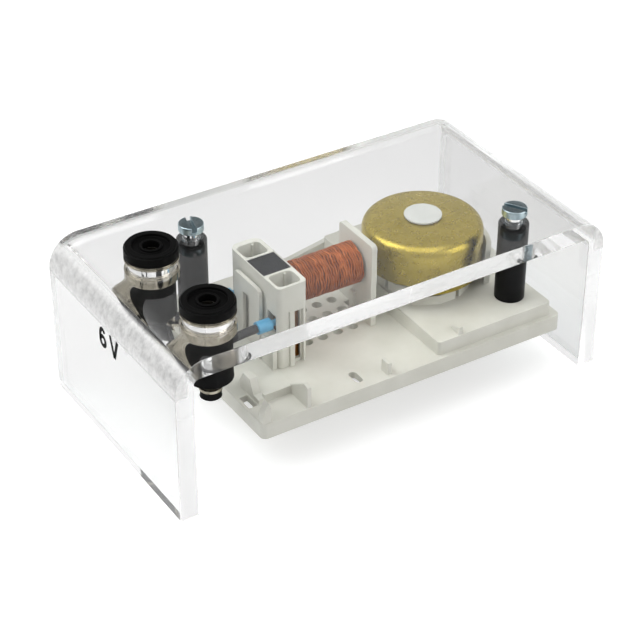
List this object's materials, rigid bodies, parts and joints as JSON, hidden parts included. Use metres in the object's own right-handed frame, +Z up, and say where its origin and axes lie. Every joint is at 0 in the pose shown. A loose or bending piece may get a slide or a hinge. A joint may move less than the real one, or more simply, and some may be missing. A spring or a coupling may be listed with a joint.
{
  "type": "electric bell",
  "caption": "Electric bell under a clear bent cover: plug sockets, an open solenoid with a striker and breaker contact, and a small brass gong.",
  "frame": {"origin": "on the table, under the middle of the cover", "axes": "+X runs along the cover from the sockets to the gong, +Y to the back, +Z up"},
  "size_m": [0.126, 0.066, 0.0489],
  "materials": {
    "clear_acrylic": "cast acrylic sheet, clear and polished, sawn edges flame polished",
    "moulded_abs": "bone white moulded ABS with a fine satin skin",
    "white_plastic": "white moulded cap",
    "black_plastic": "black polyamide, low gloss",
    "iron": "dark sintered iron block",
    "soft_iron": "turned soft iron",
    "copper_wire": "enamelled copper wire",
    "brass": "turned brass",
    "gong_brass": "drawn brass, lightly tarnished",
    "bronze": "spring bronze strip",
    "silver_contact": "silver contact metal",
    "spring_steel": "drawn spring wire",
    "zinc_plate": "bright zinc plated steel, slightly blue",
    "nickel_plate": "turned brass with nickel plate",
    "lead_rubber": "dark grey insulation",
    "ferrule_blue": "blue ferrule collar"
  },
  "bodies": {
    "root": {"acrylic_cover": "clear_acrylic", "base_frame": "moulded_abs", "contact_housing": "moulded_abs", "contact_cover": "moulded_abs", "pole_block": "iron", "coil_bobbin": "moulded_abs", "coil_winding": "copper_wire", "return_spring": "spring_steel", "fixed_contact": "bronze", "terminal_clips": "bronze", "gong": "gong_brass", "gong_cap": "white_plastic", "gong_post": "moulded_abs", "spacers": "black_plastic", "cover_screws": "zinc_plate", "washers": "zinc_plate", "nuts": "zinc_plate", "socket_cap_front": "black_plastic", "socket_bushing_front": "nickel_plate", "socket_nut_front": "nickel_plate", "socket_body_front": "black_plastic", "socket_sleeve_front": "nickel_plate", "socket_tag_front": "nickel_plate", "socket_tail_front": "black_plastic", "socket_cap_rear": "black_plastic", "socket_bushing_rear": "nickel_plate", "socket_nut_rear": "nickel_plate", "socket_body_rear": "black_plastic", "socket_sleeve_rear": "nickel_plate", "socket_tag_rear": "nickel_plate", "socket_tail_rear": "black_plastic", "lead_front": "lead_rubber", "lead_rear": "lead_rubber", "ferrule_front": "ferrule_blue", "ferrule_rear": "ferrule_blue"},
    "plunger": {"plunger_core": "soft_iron", "striker_pin": "brass", "pusher_pin": "moulded_abs"},
    "contact_arm": {"contact_spring": "bronze", "contact_rivet": "silver_contact"}
  },
  "joints": [
    {"name": "plunger_travel", "type": "slide", "parent": "root", "child": "plunger", "axis": [1, 0, 0], "range_m": [0, 0.0019], "stiffness_N_per_m": 30, "springref_m": -0.004, "deforming": ["return_spring"]},
    {"name": "contact_flex", "type": "hinge", "parent": "root", "child": "contact_arm", "pos_m": [-0.018, 0.0004, 0.016], "axis": [0, 1, 0], "range_deg": [0, 8.5], "deforming": ["contact_spring"]}
  ],
  "couplings": [
    {"joint": "contact_flex", "follows": "plunger_travel", "rad_per_m": 74.627}
  ]
}
